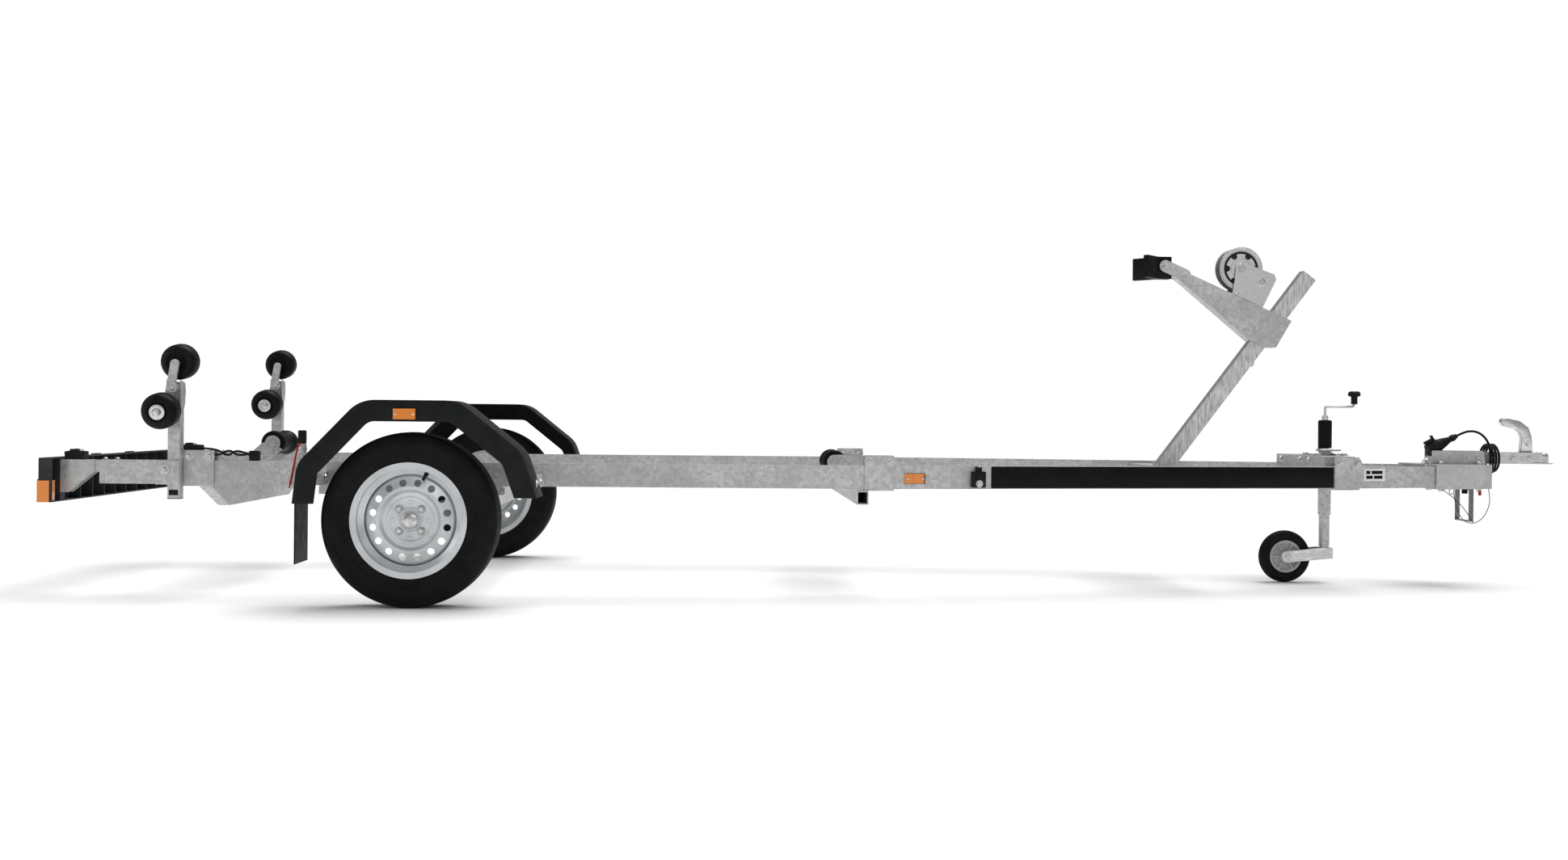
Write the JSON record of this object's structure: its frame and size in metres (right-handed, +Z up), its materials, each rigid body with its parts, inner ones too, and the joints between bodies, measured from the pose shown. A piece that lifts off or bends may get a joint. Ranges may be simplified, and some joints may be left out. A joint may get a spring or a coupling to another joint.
{
  "type": "boat trailer",
  "caption": "Galvanised single-axle boat trailer with side roller rockers, keel rollers, winch post, black mudguards, rear light board and jockey wheel.",
  "frame": {"origin": "on the ground below the middle of the length and width", "axes": "+X forward to the coupling, +Y to the left, +Z up"},
  "size_m": [5.504, 2.05, 1.285],
  "materials": {
    "galvanised": "galvanised",
    "white_paint": "satin",
    "zinc_plate": "zinc plated",
    "rim_steel": "silver paint",
    "tyre_rubber": "matt",
    "black_rubber": "matt",
    "black_plastic": "grained",
    "dark_grey_plastic": "grained",
    "amber_lens": "translucent look",
    "red_lens": "translucent look",
    "cable_black": "satin",
    "wire_steel": "bare wire"
  },
  "bodies": {
    "chassis": {"axle": "galvanised", "axle_brackets": "galvanised", "beam_left": "galvanised", "beam_right": "galvanised", "bow_bracket": "galvanised", "bow_stop": "black_rubber", "cable_run": "cable_black", "coupling_channel": "galvanised", "coupling_head": "zinc_plate", "coupling_lever": "zinc_plate", "crossbeam_front": "galvanised", "crossbeam_mid": "galvanised", "crossbeam_rear": "galvanised", "crossbeam_winch": "galvanised", "jockey_tube": "galvanised", "keel_brackets": "galvanised", "lamps_amber": "amber_lens", "lamps_red": "red_lens", "light_arms": "galvanised", "light_board": "dark_grey_plastic", "light_clamps": "black_plastic", "mudflaps": "black_rubber", "mudguard_left": "black_plastic", "mudguard_right": "black_plastic", "mudguard_stays": "galvanised", "nose_beam_left": "galvanised", "nose_beam_right": "galvanised", "nose_box": "galvanised", "plug": "black_plastic", "post_holders": "galvanised", "rail_left": "galvanised", "rail_right": "galvanised", "roller_posts": "galvanised", "saddles": "galvanised", "safety_wire": "wire_steel", "side_markers": "amber_lens", "stirrup": "zinc_plate", "winch_arm": "galvanised", "winch_frame": "zinc_plate", "winch_post": "galvanised"},
    "wheel_right": {"wheel_right": "rim_steel", "tyre_right": "tyre_rubber"},
    "wheel_left": {"wheel_left": "rim_steel", "tyre_left": "tyre_rubber"},
    "rocker_right": {"rocker_right": "galvanised"},
    "rocker_left": {"rocker_left": "galvanised"},
    "roller_upper_right": {"roller_upper_right": "black_rubber"},
    "roller_lower_right": {"roller_lower_right": "black_rubber"},
    "roller_upper_left": {"roller_upper_left": "black_rubber"},
    "roller_lower_left": {"roller_lower_left": "black_rubber"},
    "keel_roller_rear": {"keel_roller_rear": "black_rubber"},
    "keel_roller_mid": {"keel_roller_mid": "black_rubber"},
    "winch_drum": {"winch_drum": "zinc_plate"},
    "jockey_stem": {"jockey_stem": "galvanised"},
    "jockey_fork": {"jockey_fork": "zinc_plate"},
    "jockey_wheel": {"jockey_tyre": "black_rubber", "jockey_rim": "white_paint"},
    "jockey_crank": {"jockey_crank": "zinc_plate", "jockey_knob": "black_plastic"}
  },
  "joints": [
    {"name": "wheel_right_spin", "type": "hinge", "parent": "chassis", "child": "wheel_right", "pos_m": [-1.47, -0.925, 0.2805], "axis": [0, 1, 0], "continuous": true},
    {"name": "wheel_left_spin", "type": "hinge", "parent": "chassis", "child": "wheel_left", "pos_m": [-1.47, 0.925, 0.2805], "axis": [0, 1, 0], "continuous": true},
    {"name": "rocker_right_tilt", "type": "hinge", "parent": "chassis", "child": "rocker_right", "pos_m": [-2.314, -0.6743, 0.7], "axis": [0, 1, 0], "range_deg": [-20, 20]},
    {"name": "roller_upper_right_spin", "type": "hinge", "parent": "rocker_right", "child": "roller_upper_right", "pos_m": [-2.308, -0.6743, 0.781], "axis": [0, 0.9925, 0.1219], "continuous": true},
    {"name": "roller_lower_right_spin", "type": "hinge", "parent": "rocker_right", "child": "roller_lower_right", "pos_m": [-2.333, -0.6743, 0.629], "axis": [0, 0.9925, 0.1219], "continuous": true},
    {"name": "rocker_left_tilt", "type": "hinge", "parent": "chassis", "child": "rocker_left", "pos_m": [-2.314, 0.6063, 0.729], "axis": [0, 1, 0], "range_deg": [-20, 20]},
    {"name": "roller_upper_left_spin", "type": "hinge", "parent": "rocker_left", "child": "roller_upper_left", "pos_m": [-2.308, 0.6063, 0.81], "axis": [0, 0.9925, 0.1219], "continuous": true},
    {"name": "roller_lower_left_spin", "type": "hinge", "parent": "rocker_left", "child": "roller_lower_left", "pos_m": [-2.333, 0.6063, 0.658], "axis": [0, 0.9925, 0.1219], "continuous": true},
    {"name": "keel_roller_rear_spin", "type": "hinge", "parent": "chassis", "child": "keel_roller_rear", "pos_m": [-2.135, 0, 0.506], "axis": [0, 1, 0], "continuous": true},
    {"name": "keel_roller_mid_spin", "type": "hinge", "parent": "chassis", "child": "keel_roller_mid", "pos_m": [-0.051, 0, 0.452], "axis": [0, 1, 0], "continuous": true},
    {"name": "winch_drum_turn", "type": "hinge", "parent": "chassis", "child": "winch_drum", "pos_m": [1.51239, 0, 1.20513], "axis": [0, 1, 0], "continuous": true},
    {"name": "jockey_stem_slide", "type": "slide", "parent": "chassis", "child": "jockey_stem", "axis": [0, 0, 1], "range_m": [-0.12, 0.09]},
    {"name": "jockey_fork_swivel", "type": "hinge", "parent": "jockey_stem", "child": "jockey_fork", "pos_m": [1.856, 0, 0.115], "axis": [0, 0, 1], "continuous": true},
    {"name": "jockey_wheel_spin", "type": "hinge", "parent": "jockey_fork", "child": "jockey_wheel", "pos_m": [1.7, 0, 0.1], "axis": [0, 1, 0], "continuous": true},
    {"name": "jockey_crank_turn", "type": "hinge", "parent": "chassis", "child": "jockey_crank", "pos_m": [1.856, 0, 0.64], "axis": [0, 0, 1], "continuous": true}
  ]
}
